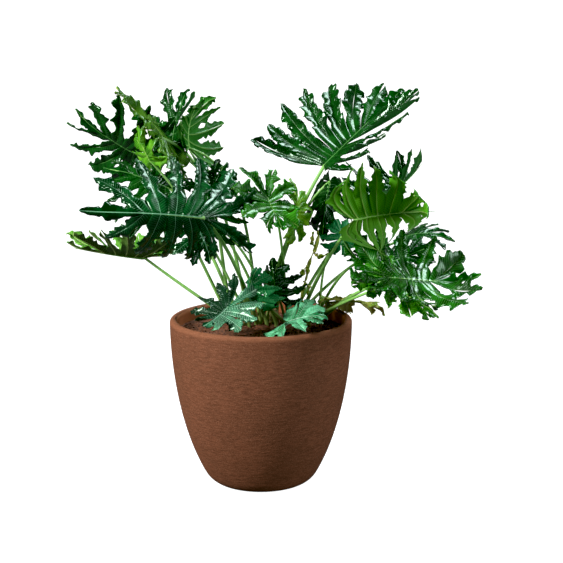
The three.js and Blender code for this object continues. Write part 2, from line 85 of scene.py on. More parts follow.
# %% Leaves
LEAF_KEYS = (
    "name", "crown", "place", "joint", "tip",
    "roll", "bend", "left", "right", "curl", "arch",
    "back", "pinch", "spread", "droop", "count", "cut", "broad", "tone",
)
LEAF_ROWS = [
    ("top_right", "middle", 8, (137, 42, 699), (318, 154, 854),
     -15, 6, -8, -26, -3, 0.3, 0.72, 0.13, 98, -0.02, 7, 0.28, 1.15, "dark"),
    ("right_under", "right", 1, (198.1, -102, 600.1), (374.9, -165.3, 625.8),
     83, 59, 76, 18, 4, 0.236, 0.71, 0.13, 124, 0.53, 6, 0.34, 1.15, "bright"),
    ("right_inner", "right", 3, (174, -6, 536), (163.7, 4.5, 586.9),
     15, 56, 25, -15, 21, 0.8, 0.77, 0.01, 145, 0.06, 4, 0.5, 1.5, "jade"),
    ("dark_inner", "middle", 7, (150.6, 41.4, 665.1), (133.5, 12.7, 526.2),
     22, 80, 49, 45, 41, 0.549, 0.65, 0.1, 139, 0.23, 5, 0.3, 1.25, "deep"),
    ("right_low", "right", 5, (258, -71, 500), (362, -61, 540),
     -38, -23, 0, 6, 12, 0.8, 0.6, 0.05, 150, 0.13, 6, 0.3, 1.15, "dark"),
    ("far_right", "right", 4, (264.9, -213.1, 498.2), (446.8, -173, 475.2),
     -26.2, 2, -5, -7, 19, 0.102, 0.61, 0.15, 146, -0.299, 6, 0.3, 1.2, "mid"),
    ("right_pale", "right", 2, (260, -177, 475), (370, -196, 415),
     -13, 11, -17, -8, 2, 0.08, 0.72, 0.04, 133, 0.07, 5, 0.3, 1.15, "bright"),
    ("back_top_right", "right", 8, (280, 149, 621), (377, 219, 696),
     10, -26, -26, -30, -9, 0.35, 0.73, 0.05, 157, -0.21, 5, 0.25, 1, "dark"),
    ("back_right", "right", 7, (307, 47, 534), (420, 14, 532),
     -28, 83, 14, -5, 29, 0.291, 0.69, -0.01, 122, -0.05, 5, 0.25, 1, "dark"),
    ("centre", "middle", 4, (16.2, -102.7, 646.3), (50, -142, 585),
     12, -13, -10, 11, -7, 0.723, 1, -0.13, 146, 0.06, 4, 0.38, 1.5, "fresh"),
    ("centre_yellow", "middle", 6, (78, -18, 618), (61, -37, 532),
     76, 23, 16, -38, 10, 0.477, 0.69, 0.2, 141, 0.119, 4, 0.4, 1.25, "lime"),
    ("big_left", "left", 3, (-110, -219, 622.1), (-344.5, -233.6, 633.1),
     71.7, 46, 45, 18, 60, 0.285, 0.77, 0.1, 151, -0.22, 6, 0.22, 1.05, "blue"),
    ("left_inner", "middle", 1, (-120.4, -35.5, 603.5), (-73.1, -36.7, 716.7),
     -50.7, 22, 14, 14, 18, 0.394, 0.8, 0.1, 122, 0.1, 6, 0.28, 1.1, "deep"),
    ("left_droop", "middle", 2, (-137, -118.5, 600.1), (-100, -131.5, 511.7),
     -35, 30, 14, 10, 30, 0.672, 0.7, 0.1, 150, 0.1, 5, 0.28, 1.15, "blue"),
    ("far_left", "left", 1, (-254.1, 20.6, 499.2), (-421.4, -15, 530.5),
     0, -8, -32, -12, 8, -0.031, 0.63, 0.07, 134, -0.08, 6, 0.25, 1.1, "olive"),
    ("top_left", "left", 6, (-274.8, 107.3, 715.3), (-408.9, 72.6, 817.2),
     140, 22, 2, 2, 10, 0.402, 0.9, 0.05, 118, 0.05, 5, 0.2, 0.95, "dark"),
    ("top_left_olive", "left", 7, (-204.5, -45.6, 766.4), (-307.6, 2.4, 868.8),
     -19, 21, 4, 4, -6, 0.784, 0.65, 0.11, 150, 0.02, 5, 0.3, 1.2, "moss"),
    ("left_young", "left", 2, (-230.4, -76.2, 720.6), (-255.4, -57.2, 793),
     118.3, 24, 4, 4, 12, 0.297, 0.85, 0.05, 105, 0.0, 3, 0.35, 1.3, "young"),
    ("top_mid", "middle", 0, (-157, 26.2, 738.3), (-123.2, 22.7, 848.7),
     47, 85, -21, 37, 14, 0.8, 0.82, -0.03, 120, 0.1, 6, 0.35, 1.25, "mid"),
    ("back_top", "left", 5, (-203.3, 157.6, 722.5), (-163.9, 190.1, 855.9),
     -15, 42, 7, -25, -22, 0.714, 0.72, -0.08, 120, -0.05, 4, 0.25, 1.1, "dark"),
    ("left_back", "left", 0, (-196.1, -42.8, 660.1), (-336.4, -8, 699.3),
     38, 23, 0, 15, 41, -0.046, 0.73, -0.01, 120, 0.038, 6, 0.25, 1.1, "dark"),
    ("low_left", "left", 4, (-68.9, -88.9, 410.9), (-117, -147.5, 383.1),
     21, -29, -13, 12, 9, 0.667, 0.98, -0.03, 153, -0.05, 5, 0.42, 1.3, "veined"),
    ("low_mid", "middle", 3, (-22.1, -69.4, 429.1), (-5.1, -74.5, 497.1),
     -59.9, 39, 24, 18, 38, 0.111, 0.85, 0.02, 120, 0.17, 4, 0.42, 1.35, "jade"),
    ("small_dark", "middle", 5, (35, -25, 422.2), (23.1, 3.2, 506.3),
     34.8, 42, 42, 30, 35, 0.258, 0.81, 0.05, 129, 0.19, 4, 0.35, 1.2, "dark"),
    ("low_right", "right", 0, (60, -102.5, 382.1), (143, -126, 398),
     -37.1, 42, 6, -32, 8, 0.031, 0.81, 0.02, 111, 0.14, 4, 0.42, 1.35, "mint"),
    ("small_right", "right", 6, (183, 57, 396), (278, 45, 367),
     14, 37, 13, -7, 7, 0.64, 0.71, -0.01, 132, 0.02, 3, 0.3, 1.1, "pale"),
]
LEAVES = {row[0]: dict(zip(LEAF_KEYS, row)) for row in LEAF_ROWS}
print("leaves:", len(LEAVES))

# %% [markdown]
# ## What the finer mesh adds to a leaf
# Its lobes are a tenth wider than those of the solid, unless the leaf has its own number here.
# Known fault: some neighbouring leaves cross when finished. How much of that comes from the
# width and how much from the twist, the fold and the ruffle wasn't measured.
#
# On a few leaves one half is painted paler (above 0) or darker (below 0) than the tone says:
# painted sheen and painted shade. The left half comes first. The seed of a leaf is its place in the
# table.

# %% Fullness and shades
USUAL_FULLNESS = 1.1
FULLER = {
    "centre": 1.3,
    "low_left": 1.35,
    "low_mid": 1.2,
    "centre_yellow": 1.2,
    "big_left": 1.0,
}
# Painted shade (below 0) and painted sheen (above 0) on one half of a leaf.
PAINTED_HALF_SHADE_AND_SHEEN = {
    "right_under": (-0.7, 0.0),
    "centre": (0.0, -0.3),
    "low_left": (0.06, -0.88),
}
for number, (name, leaf) in enumerate(LEAVES.items()):
    leaf["seed"] = number + 1
    leaf["fuller"] = FULLER.get(name, USUAL_FULLNESS)
print("leaves with their own fullness:", ", ".join(FULLER))

# %% [markdown]
# ## A repeatable draw
# Leaves are never alike, but a scene has to come out the same each time. This draw gives a
# number between -1 and 1 that depends only on the leaf, the lobe and what the number is for.

# %% Draw
def draw(seed, lobe, purpose):
    mixed = math.sin(seed * 12.9898 + lobe * 78.233 + purpose * 37.719) * 43758.5453
    return 2 * (mixed - math.floor(mixed)) - 1


def smooth(value):
    value = np.clip(value, 0, 1)
    return value * value * (3 - 2 * value)


def unit(vector):
    return vector / np.linalg.norm(vector)


print("three draws:", [round(draw(1, lobe, 1), 2) for lobe in (1, 2, 3)])

# %% [markdown]
# ## The frame of a blade
# The midrib is an arc that starts at the joint and ends at the tip. From the chord between
# them, the roll and the bend we get three directions at the joint: ahead along the midrib,
# across to the left half, and the normal of the upper face.

# %% Blade frame
UP = np.array([0.0, 0.0, 1.0])


def blade_frame(leaf):
    joint = np.array(leaf["joint"], float)
    chord = np.array(leaf["tip"], float) - joint
    reach = np.linalg.norm(chord)
    chord = chord / reach
    level = unit(UP - chord * chord[2])
    beam = np.cross(level, chord)
    roll = math.radians(leaf["roll"])
    face = level * math.cos(roll) + beam * math.sin(roll)
    half = math.radians(leaf["bend"]) / 2
    ahead = chord * math.cos(half) + face * math.sin(half)
    normal = face * math.cos(half) - chord * math.sin(half)
    length = reach * half / math.sin(half)
    return {
        "joint": joint,
        "ahead": ahead,
        "normal": normal,
        "across": np.cross(normal, ahead),
        "length": length,
        "turn": 2 * half / length,
    }


def on_blade(blade, leaf, x, y, lift):
    hang = np.where(y >= 0, math.radians(leaf["left"]), math.radians(leaf["right"]))
    curl = math.radians(leaf["curl"]) / blade["length"]
    far = hang + curl * np.abs(y)
    out = (np.sin(far) - np.sin(hang)) / curl * np.sign(y)
    up = lift - (np.cos(hang) - np.cos(far)) / curl
    turn = blade["turn"]
    angle = turn * x
    ahead = np.sin(angle) / turn + np.sin(angle) * up
    rise = (np.cos(angle) - 1) / turn + np.cos(angle) * up
    return (
        blade["joint"]
        + np.multiply.outer(ahead, blade["ahead"])
        + np.multiply.outer(rise, blade["normal"])
        + np.multiply.outer(out, blade["across"])
    )


lengths = [blade_frame(leaf)["length"] for leaf in LEAVES.values()]
print("blade lengths, mm:", round(min(lengths)), "to", round(max(lengths)))

# %% [markdown]
# ## The lobes of a blade
# Side ribs leave the midrib at even steps and fan out. Each rib carries one lobe. The same
# rule gives the solids, so a lobe here has the place and length of its solid. Its width is that
# of the solid times the fullness of the leaf.

# %% Lobes
LOBE_TWIST = math.radians(22)
LOBE_BOW = 0.05


def lobe_half(leaf, length):
    return leaf["fuller"] * (length * (0.3 / leaf["count"] + 0.012) * leaf["broad"])


def lobes_of(leaf, length, side):
    lobes = []
    count = leaf["count"]
    for i in range(1, count + 1):
        fan = math.radians(leaf["spread"]) * (i - 0.25) / (count - 0.25)
        outline = (
            (1 - (1 - leaf["back"]) * (1 - math.cos(fan)) / 2)
            * (1 - leaf["pinch"] * math.sin(fan) ** 2)
            * (1 + 0.07 * draw(leaf["seed"], i * side, 1))
        )
        start = max(0, 0.66 * (1 - i / count) ** 1.3 - 0.02) * length
        end = (outline * length * math.cos(fan), outline * length * math.sin(fan) * side)
        lobes.append({
            "start": (start, 0),
            "end": end,
            "span": math.hypot(end[0] - start, end[1]),
            "side": side,
            "half": lobe_half(leaf, length) * (1 + 0.15 * draw(leaf["seed"], i * side, 2)),
            "twist": LOBE_TWIST * draw(leaf["seed"], i * side, 3),
            "bow": LOBE_BOW,
            "cut": leaf["cut"],
            "index": i,
        })
    return lobes


def on_lobe(lobe, t, s):
    x0, y0 = lobe["start"]
    dx = lobe["end"][0] - x0
    dy = lobe["end"][1] - y0
    forward_x = dy / lobe["span"] * lobe["side"]
    forward_y = -dx / lobe["span"] * lobe["side"]
    shift = s - 4 * lobe["bow"] * lobe["span"] * t * (1 - t)
    return np.stack([x0 + dx * t + forward_x * shift, y0 + dy * t + forward_y * shift], -1)


test_lobes = lobes_of(LEAVES["centre"], blade_frame(LEAVES["centre"])["length"], 1)
print("lobe lengths on one side, mm:", [round(lobe["span"]) for lobe in test_lobes])

# %% [markdown]
# ## The edge of a lobe
# Close up, a lobe is not a plain strap. Its edge runs out and in with small forward teeth and
# a few larger side lobules, and it is wavy. We give the half width of a lobe as a function of
# the way along its rib: broad knots from the solid's rule, then lobules, then teeth.

# %% Lobe edge
LOBULES = 4
TOOTH_STEP = 15.0


def edge_knots(leaf, lobe, towards):
    knots = []
    for k, (along, share) in enumerate(EDGE_POINTS):
        seed = leaf["seed"] + 0.37 * k
        place = lobe["index"] * lobe["side"]
        ragged = 1 + 0.18 * draw(seed, place, 6 + towards)
        t = lobe["cut"] + (1 - lobe["cut"]) * along + 0.05 * draw(seed, place, 10 + towards)
        wave = 0.2 * lobe["half"] * draw(seed, place, 14 + towards)
        knots.append((t, lobe["half"] * share * ragged, wave))
    return knots


def edge_width(leaf, lobe, towards, t):
    (t1, w1, _), (t2, w2, _) = edge_knots(leaf, lobe, towards)
    seed = leaf["seed"] + 0.11
    place = lobe["index"] * lobe["side"] + 0.5 * towards
    neck = 0.52 * lobe["half"]
    width = neck + (w1 - neck) * smooth((t - lobe["cut"]) / (t1 - lobe["cut"]))
    width = width + (w2 - w1) * smooth((t - t1) / (t2 - t1))
    width = width * (1 - 0.16 * smooth((t - lobe["cut"]) / 0.2))
    for k in range(LOBULES):
        along = 0.22 + 0.19 * k + 0.07 * draw(seed, place, 20 + k)
        centre = lobe["cut"] + (1 - lobe["cut"]) * along
        size = lobe["half"] * max(0.06, 0.3 + 0.42 * draw(seed, place, 24 + k))
        spread = np.where(t < centre, 0.09, 0.03)
        width = width + size * np.exp(-(((t - centre) / spread) ** 2))
        width = width - 0.35 * size * np.exp(-(((t - centre - 0.07) / 0.03) ** 2))
    phase = math.pi * draw(seed, place, 30)
    teeth = lobe["span"] / TOOTH_STEP
    ripple = np.sin(2 * math.pi * teeth * t + phase) + 0.7 * np.sin(
        2 * math.pi * teeth * 1.63 * t + 2.1 * phase
    )
    width = width + 0.045 * lobe["half"] * ripple * smooth((t - lobe["cut"]) / 0.15)
    tip = np.clip((t - t2) / (1 - t2), 0, 1)
    blunt = 1.5 + 0.9 * draw(seed, place, 34)
    return width * np.clip(1 - tip**blunt, 0, 1) ** 0.62


knots = edge_knots(LEAVES["centre"], test_lobes[0], 1)
print("half widths of a lobe, mm:", [round(width, 1) for _, width, _ in knots])

# %% [markdown]
# ## One flank of a lobe
# A flank is the strip of blade from a rib out to the edge, or out to the cut where the next
# lobe starts. It is a grid: rows run along the rib and columns run from the rib to the edge.
# Narrow columns next to the rib leave room for the raised rib on the under face. A flank is
# lifted out of the flat by a twist, which is stronger than in the solid, a fold, a ruffle and
# a sway. The facts kept with its points say how far each is from a rib, the midrib and the rim.

# %% Flank grid
COLUMNS = np.array([0, 0.05, 0.14, 0.33, 0.57, 0.8, 1.0])
WEB_ROWS = 5
ROW_STEP = 3.2
FEWEST_ROWS = 16
TWIST_MORE = 1.8
FAR = 99.0


def flank_rows(lobe):
    count = max(FEWEST_ROWS, int(lobe["span"] / ROW_STEP))
    q = np.linspace(0, 1, count + 1)
    free = q - 0.1 * np.sin(2 * math.pi * q)
    web = np.linspace(0, lobe["cut"], WEB_ROWS + 1)[:-1]
    return np.concatenate([web, lobe["cut"] + (1 - lobe["cut"]) * free])


def flank_grid(leaf, blade, lobe, towards, mid, sinus):
    t = flank_rows(lobe)
    cut = lobe["cut"]
    rib = on_lobe(lobe, t, 0)
    free = np.clip((t - cut) / (1 - cut), 0, 1)
    width = edge_width(leaf, lobe, towards, np.maximum(t, cut))
    edge = on_lobe(lobe, t, towards * width)
    start = on_lobe(lobe, np.array([cut]), towards * width[WEB_ROWS])[0]
    if lobe["index"] == 0:
        edge[:, 1] = lobe["side"] * np.abs(edge[:, 1])
        start[1] = lobe["side"] * abs(start[1])
    keep = (1 - smooth((t - cut) / 0.13))[:, None]
    outer = edge + (sinus - start) * keep
    in_web = t < cut - 1e-6
    share = (t / cut)[:, None]
    outer[in_web] = (mid + (sinus - mid) * share)[in_web]
    apart = np.minimum(BACK_GAP, 4 * t)
    outer[:, 1] = lobe["side"] * np.maximum(apart, lobe["side"] * outer[:, 1])
    c = COLUMNS[None, :]
    flat = rib[:, None] * (1 - c[..., None]) + outer[:, None] * c[..., None]
    away = np.linalg.norm(outer - rib, axis=1)[:, None] * c
    s = towards * away
    place = lobe["index"] * lobe["side"]
    (t1, _, wave1), (t2, _, wave2) = edge_knots(leaf, lobe, towards)
    wave = np.interp(t, [cut, t1, t2, 1], [0, wave1, wave2, 0])[:, None]
    half = lobe["half"]
    phase = math.pi * draw(leaf["seed"], place, 40 + towards)
    loose = smooth(free * 3)[:, None]
    bends = lobe["span"] / 34
    ruffle = np.sin(2 * math.pi * bends * t + phase)
    ruffle = ruffle + 0.7 * np.sin(3.7 * math.pi * bends * t + 2 * phase)
    ruffle = 0.19 * half * ruffle[:, None]
    sway = np.sin(2 * math.pi * 1.1 * t + 1.7 * phase)[:, None]
    sway = 0.22 * half * sway * free[:, None]
    fold = 0.16 + 0.5 * draw(leaf["seed"], place, 44)
    pillow = 0.15 * half * np.sin(math.pi * c) * smooth(t / 0.12)[:, None]
    lift = (
        -leaf["droop"] * lobe["span"] * (free**2)[:, None]
        + s * math.tan(TWIST_MORE * lobe["twist"]) * np.minimum(1, 3 * free)[:, None]
        + fold * np.abs(s) * np.minimum(1, 2.5 * t)[:, None]
        + (wave + ruffle * loose) * c**2
        + sway
        + pillow
    )
    x, y = flat[..., 0], flat[..., 1]
    points = on_blade(blade, leaf, x, y, lift)
    length = blade["length"]
    midrib = np.abs(y) + np.maximum(0, -x)
    facts = {
        "rib": np.where(lobe["index"] > 0, away, FAR),
        "mid": midrib,
        "along": np.broadcast_to((t * lobe["span"])[:, None], x.shape),
        "run": np.broadcast_to(t[:, None], x.shape),
        "u": x / length,
        "v": y / length,
        "rim": np.where(in_web[:, None], 1.0, 1 - np.broadcast_to(c, x.shape)),
    }
    return points, flat, facts


print("rows on a lobe:", [len(flank_rows(lobe)) for lobe in test_lobes])

# %% [markdown]
# ## The whole blade
# All flanks share points along ribs, midrib and cuts, so welding them by place closes the
# sheet. Then the sheet gets two faces. The lower one carries ribs that stand out, as on the
# real leaf, and the upper one is only a little raised there.

# %% Blade mesh
HALF_THICK = 0.4
WELDS_A_MM = 200
SHADE_BORDER = 12


def back_notch(lobe):
    x, y = on_lobe(lobe, 0.3, -0.7 * lobe["half"])
    return np.array([x, lobe["side"] * max(BACK_GAP, lobe["side"] * y)])


def sheet_grids(leaf, blade):
    length = blade["length"]
    spine = [lobe["start"][0] for lobe in lobes_of(leaf, length, 1)]
    grids = []
    for side in (1, -1):
        lobes = lobes_of(leaf, length, side)
        last = {
            "start": (spine[0], 0),
            "end": (length, 0),
            "span": length - spine[0],
            "side": side,
            "half": lobe_half(leaf, length),
            "twist": 0,
            "bow": 0,
            "cut": leaf["cut"],
            "index": 0,
        }
        chain = [last] + lobes
        sinuses = []
        for i, lobe in enumerate(lobes):
            a = on_lobe(chain[i], leaf["cut"] + (0 if i else 0.1), 0)
            b = on_lobe(lobe, leaf["cut"], 0)
            sinuses.append((a + b) / 2)
        following = spine[1:] + spine[-1:]
        mids = [np.array([(a + b) / 2, 0.0]) for a, b in zip(spine, following)]
        top = np.array([spine[0], 0.0])
        grids.append(flank_grid(leaf, blade, last, 1, top, sinuses[0]))
        for i, lobe in enumerate(lobes):
            before = top if i == 0 else mids[i - 1]
            grids.append(flank_grid(leaf, blade, lobe, 1, before, sinuses[i]))
            lowest = i == len(lobes) - 1
            after = np.array([spine[i], 0.0]) if lowest else mids[i]
            sinus = back_notch(lobe) if lowest else sinuses[i + 1]
            grids.append(flank_grid(leaf, blade, lobe, -1, after, sinus))
    return grids


def weld(grids):
    points = np.concatenate([g[0].reshape(-1, 3) for g in grids])
    facts = {key: np.concatenate([g[2][key].reshape(-1) for g in grids]) for key in grids[0][2]}
    quads = []
    offset = 0
    for grid, flat, _ in grids:
        rows, columns = grid.shape[:2]
        index = np.arange(rows * columns).reshape(rows, columns) + offset
        quad = np.stack([index[:-1, :-1], index[1:, :-1], index[1:, 1:], index[:-1, 1:]], -1)
        a, b, c, d = (flat.reshape(-1, 2)[quad[..., k] - offset] for k in range(4))
        cross = (c - a)[..., 0] * (d - b)[..., 1] - (c - a)[..., 1] * (d - b)[..., 0]
        if cross.sum() < 0:
            quad = quad[..., ::-1]
        quads.append(quad.reshape(-1, 4))
        offset += rows * columns
    quads = np.concatenate(quads)
    keys = np.round(points * WELDS_A_MM).astype(np.int64)
    _, first, where = np.unique(keys, axis=0, return_index=True, return_inverse=True)
    where = where.reshape(-1)
    merged = {key: value[first] for key, value in facts.items()}
    low = np.full(len(first), FAR)
    np.minimum.at(low, where, facts["rib"])
    merged["rib"] = low
    return points[first], merged, where[quads]


def faces_of(quads):
    faces = []
    for quad in quads.tolist():
        face = [v for k, v in enumerate(quad) if v != quad[k - 1]]
        if len(face) > 2 and len(set(face)) == len(face):
            faces.append(face)
    return faces


def vertex_normals(points, faces):
    normals = np.zeros_like(points)
    for size in (3, 4):
        group = np.array([f for f in faces if len(f) == size]).reshape(-1, size)
        if len(group) == 0:
            continue
        p = points[group]
        normal = np.cross(p[:, 2] - p[:, 0], p[:, -1] - p[:, 1])
        for k in range(size):
            np.add.at(normals, group[:, k], normal)
    return normals / np.maximum(np.linalg.norm(normals, axis=1), 1e-9)[:, None]


def blade_shell(leaf, blade):
    points, facts, quads = weld(sheet_grids(leaf, blade))
    faces = faces_of(quads)
    normals = vertex_normals(points, faces)
    count = len(points)
    rib = np.exp(-((facts["rib"] / 1.1) ** 2)) * (1.5 - 1.1 * facts["run"])
    mid = np.exp(-((facts["mid"] / 2.2) ** 2)) * np.clip(2.4 - 2 * facts["u"], 0.4, 2.4)
    ridge = np.maximum(rib, mid)
    upper = points + normals * (HALF_THICK + 0.12 * ridge)[:, None]
    lower = points - normals * (HALF_THICK + 1.2 * ridge)[:, None]
    edges = {}
    for face in faces:
        for k, a in enumerate(face):
            b = face[(k + 1) % len(face)]
            if edges.pop((b, a), None) is None:
                edges[(a, b)] = True
    shell = list(faces)
    shell += [[v + count for v in reversed(face)] for face in faces]
    shell += [[a, a + count, b + count, b] for a, b in edges]
    both = {key: np.concatenate([value, value]) for key, value in facts.items()}
    both["under"] = np.concatenate([np.zeros(count), np.ones(count)])
    left, right = PAINTED_HALF_SHADE_AND_SHEEN.get(leaf["name"], (0, 0))
    on_left = smooth(0.5 + both["v"] * blade["length"] / SHADE_BORDER)
    both["shade"] = right + (left - right) * on_left
    return np.concatenate([upper, lower]), both, shell


test_points, _, test_faces = blade_shell(LEAVES["centre"], blade_frame(LEAVES["centre"]))
print("one blade:", len(test_points), "points,", len(test_faces), "faces")

# %% [markdown]
# ## Small helpers for nodes
# Trees and finishes are built from nodes in code. Here a node is added together with its
# inputs. An input that is the output of another node becomes a wire, and any other input is a
# plain value.

# %% Node helpers
class Net:
    def __init__(self, tree):
        self.tree = tree

    def add(self, kind, inputs=None, **settings):
        node = self.tree.nodes.new(kind)
        for key, value in settings.items():
            setattr(node, key, value)
        for key, value in (inputs or {}).items():
            self.wire(value, node.inputs[key])
        return node

    def wire(self, value, socket):
        if isinstance(value, bpy.types.NodeSocket):
            self.tree.links.new(value, socket)
        else:
            socket.default_value = value

    def math(self, operation, a, b=0.0, clamp=False):
        node = self.add("ShaderNodeMath", {0: a, 1: b}, operation=operation, use_clamp=clamp)
        return node.outputs[0]

    def times(self, a, b):
        return self.math("MULTIPLY", a, b)

    def plus(self, a, b):
        return self.math("ADD", a, b)

    def scaled(self, vector, scale):
        inputs = {0: vector, "Scale": scale}
        return self.add("ShaderNodeVectorMath", inputs, operation="SCALE").outputs[0]

    def apart(self, vector):
        return self.add("ShaderNodeSeparateXYZ", {0: vector}).outputs

    def blend(self, factor, a, b):
        inputs = {"Factor": factor, 6: a, 7: b}
        return self.add("ShaderNodeMix", inputs, data_type="RGBA").outputs[2]

    def tint(self, colour, code, factor, strength):
        return self.blend(self.times(factor, strength), colour, linear(code))

    def span(self, value, low, high, to_low=0.0, to_high=1.0):
        inputs = {"Value": value, "From Min": low, "From Max": high}
        inputs.update({"To Min": to_low, "To Max": to_high})
        node = self.add("ShaderNodeMapRange", inputs, interpolation_type="SMOOTHSTEP")
        return node.outputs["Result"]

    def noise(self, vector, scale, detail=2.0, rough=0.5):
        inputs = {"Vector": vector, "Scale": scale, "Detail": detail, "Roughness": rough}
        return self.add("ShaderNodeTexNoise", inputs).outputs["Fac"]

    def stretch(self, vector, scale):
        return self.add("ShaderNodeMapping", {"Vector": vector, "Scale": scale}).outputs["Vector"]

    def spot(self):
        return self.add("ShaderNodeTexCoord").outputs["Object"]

    def attribute(self, name):
        return self.add("ShaderNodeAttribute", attribute_name=name).outputs["Fac"]

    def named(self, name):
        node = self.add("GeometryNodeInputNamedAttribute", {"Name": name}, data_type="FLOAT")
        return node.outputs["Attribute"]


def linear(code):
    channels = [int(code[k:k + 2], 16) / 255 for k in (1, 3, 5)]
    return [c / 12.92 if c <= 0.04045 else ((c + 0.055) / 1.055) ** 2.4 for c in channels] + [1.0]


print("pot brown in linear light:", [round(c, 3) for c in linear("#6e4630")])

# %% [markdown]
# ## Stalks with Geometry Nodes
# A stalk is a round rod that follows a curve and gets thinner on the way. That is what Curve
# to Mesh is made for. The tree takes a line of points that carry a radius and turns it into a
# closed rod. Each tree in this scene starts and ends in the same way, so two functions do that.

# %% Stalk tree
GEOMETRY, MATERIAL = "NodeSocketGeometry", "NodeSocketMaterial"
COLOUR, VALUE, WHOLE = "NodeSocketColor", "NodeSocketFloat", "NodeSocketInt"
STALK_SIDES = 10


def new_tree(name, sockets):
    tree = bpy.data.node_groups.new(name, "GeometryNodeTree")
    tree.interface.new_socket("Geometry", in_out="INPUT", socket_type=GEOMETRY)
    for label, kind, value in sockets:
        socket = tree.interface.new_socket(label, in_out="INPUT", socket_type=kind)
        socket.default_value = value
    tree.interface.new_socket("Material", in_out="INPUT", socket_type=MATERIAL)
    tree.interface.new_socket("Geometry", in_out="OUTPUT", socket_type=GEOMETRY)
    net = Net(tree)
    return tree, net, net.add("NodeGroupInput").outputs


def end_tree(net, geometry, material):
    real = net.add("GeometryNodeRealizeInstances", {0: geometry}).outputs[0]
    paint = net.add("GeometryNodeSetMaterial", {"Geometry": real, "Material": material})
    net.add("NodeGroupOutput", {0: paint.outputs[0]})


def set_input(modifier, tree, label, value):
    socket = next(s for s in tree.interface.items_tree if s.name == label and s.in_out == "INPUT")
    modifier[socket.identifier] = value


def stalk_tree():
    tree, net, start = new_tree("stalk", [("Sides", WHOLE, STALK_SIDES)])
    thick = net.named("thick")
    line = net.add("GeometryNodeMeshToCurve", {0: start["Geometry"]}).outputs[0]
    curve = net.add("GeometryNodeSetCurveRadius", {"Curve": line, "Radius": thick}).outputs[0]
    ring = net.add(
        "GeometryNodeCurvePrimitiveCircle", {"Resolution": start["Sides"], "Radius": 1.0}
    )
    rod = net.add("GeometryNodeCurveToMesh", {
        "Curve": curve,
        "Profile Curve": ring.outputs[0],
        "Scale": thick,
        "Fill Caps": True,
    })
    end_tree(net, rod.outputs[0], start["Material"])
    return tree


STALK_TREE = stalk_tree()
print("stalk tree nodes:", len(STALK_TREE.nodes))

# %% [markdown]
# ## Finishes
# A finish has a colour, a roughness and a relief. An effect that several materials share is a
# node group with named inputs.

# %% Finishes
def new_effect(name, inputs, outputs):
    tree = bpy.data.node_groups.new(name, "ShaderNodeTree")
    for label, kind, value in inputs:
        socket = tree.interface.new_socket(label, in_out="INPUT", socket_type=kind)
        socket.default_value = value
    for label, kind in outputs:
        tree.interface.new_socket(label, in_out="OUTPUT", socket_type=kind)
    net = Net(tree)
    return tree, net, net.add("NodeGroupInput").outputs, net.add("NodeGroupOutput").inputs


def new_material(name):
    material = bpy.data.materials.new(name)
    material.use_nodes = True
    return material, Net(material.node_tree), material.node_tree.nodes["Principled BSDF"]


def surface(net, shader, colour, rough, height, depth=0.001, strength=1.0):
    relief = net.add("ShaderNodeBump", {"Height": height, "Distance": depth, "Strength": strength})
    net.wire(colour, shader.inputs["Base Color"])
    net.wire(rough, shader.inputs["Roughness"])
    net.wire(relief.outputs["Normal"], shader.inputs["Normal"])


print("soil brown in linear light:", [round(c, 3) for c in linear("#472616")])

# %% [markdown]
# ## The skin of a leaf
# Every leaf shares one skin. The upper face is a deep glossy green with a pale midrib and
# paler side ribs. Fine veins run obliquely between the ribs, and cloudy patches break up the
# green. The lower face is duller, has its own green, and its ribs stand out more. Last, over
# both faces, one half of some leaves gets painted shade or painted sheen. What differs between
# leaves is the tone.

# %% Leaf skin
# The near-black green of the painted shade on one half of a leaf.
PAINTED_SHADE_GREEN = linear("#031a04")
SKIN_SHINE = (0.68, 1.0, 0.76, 1.0)


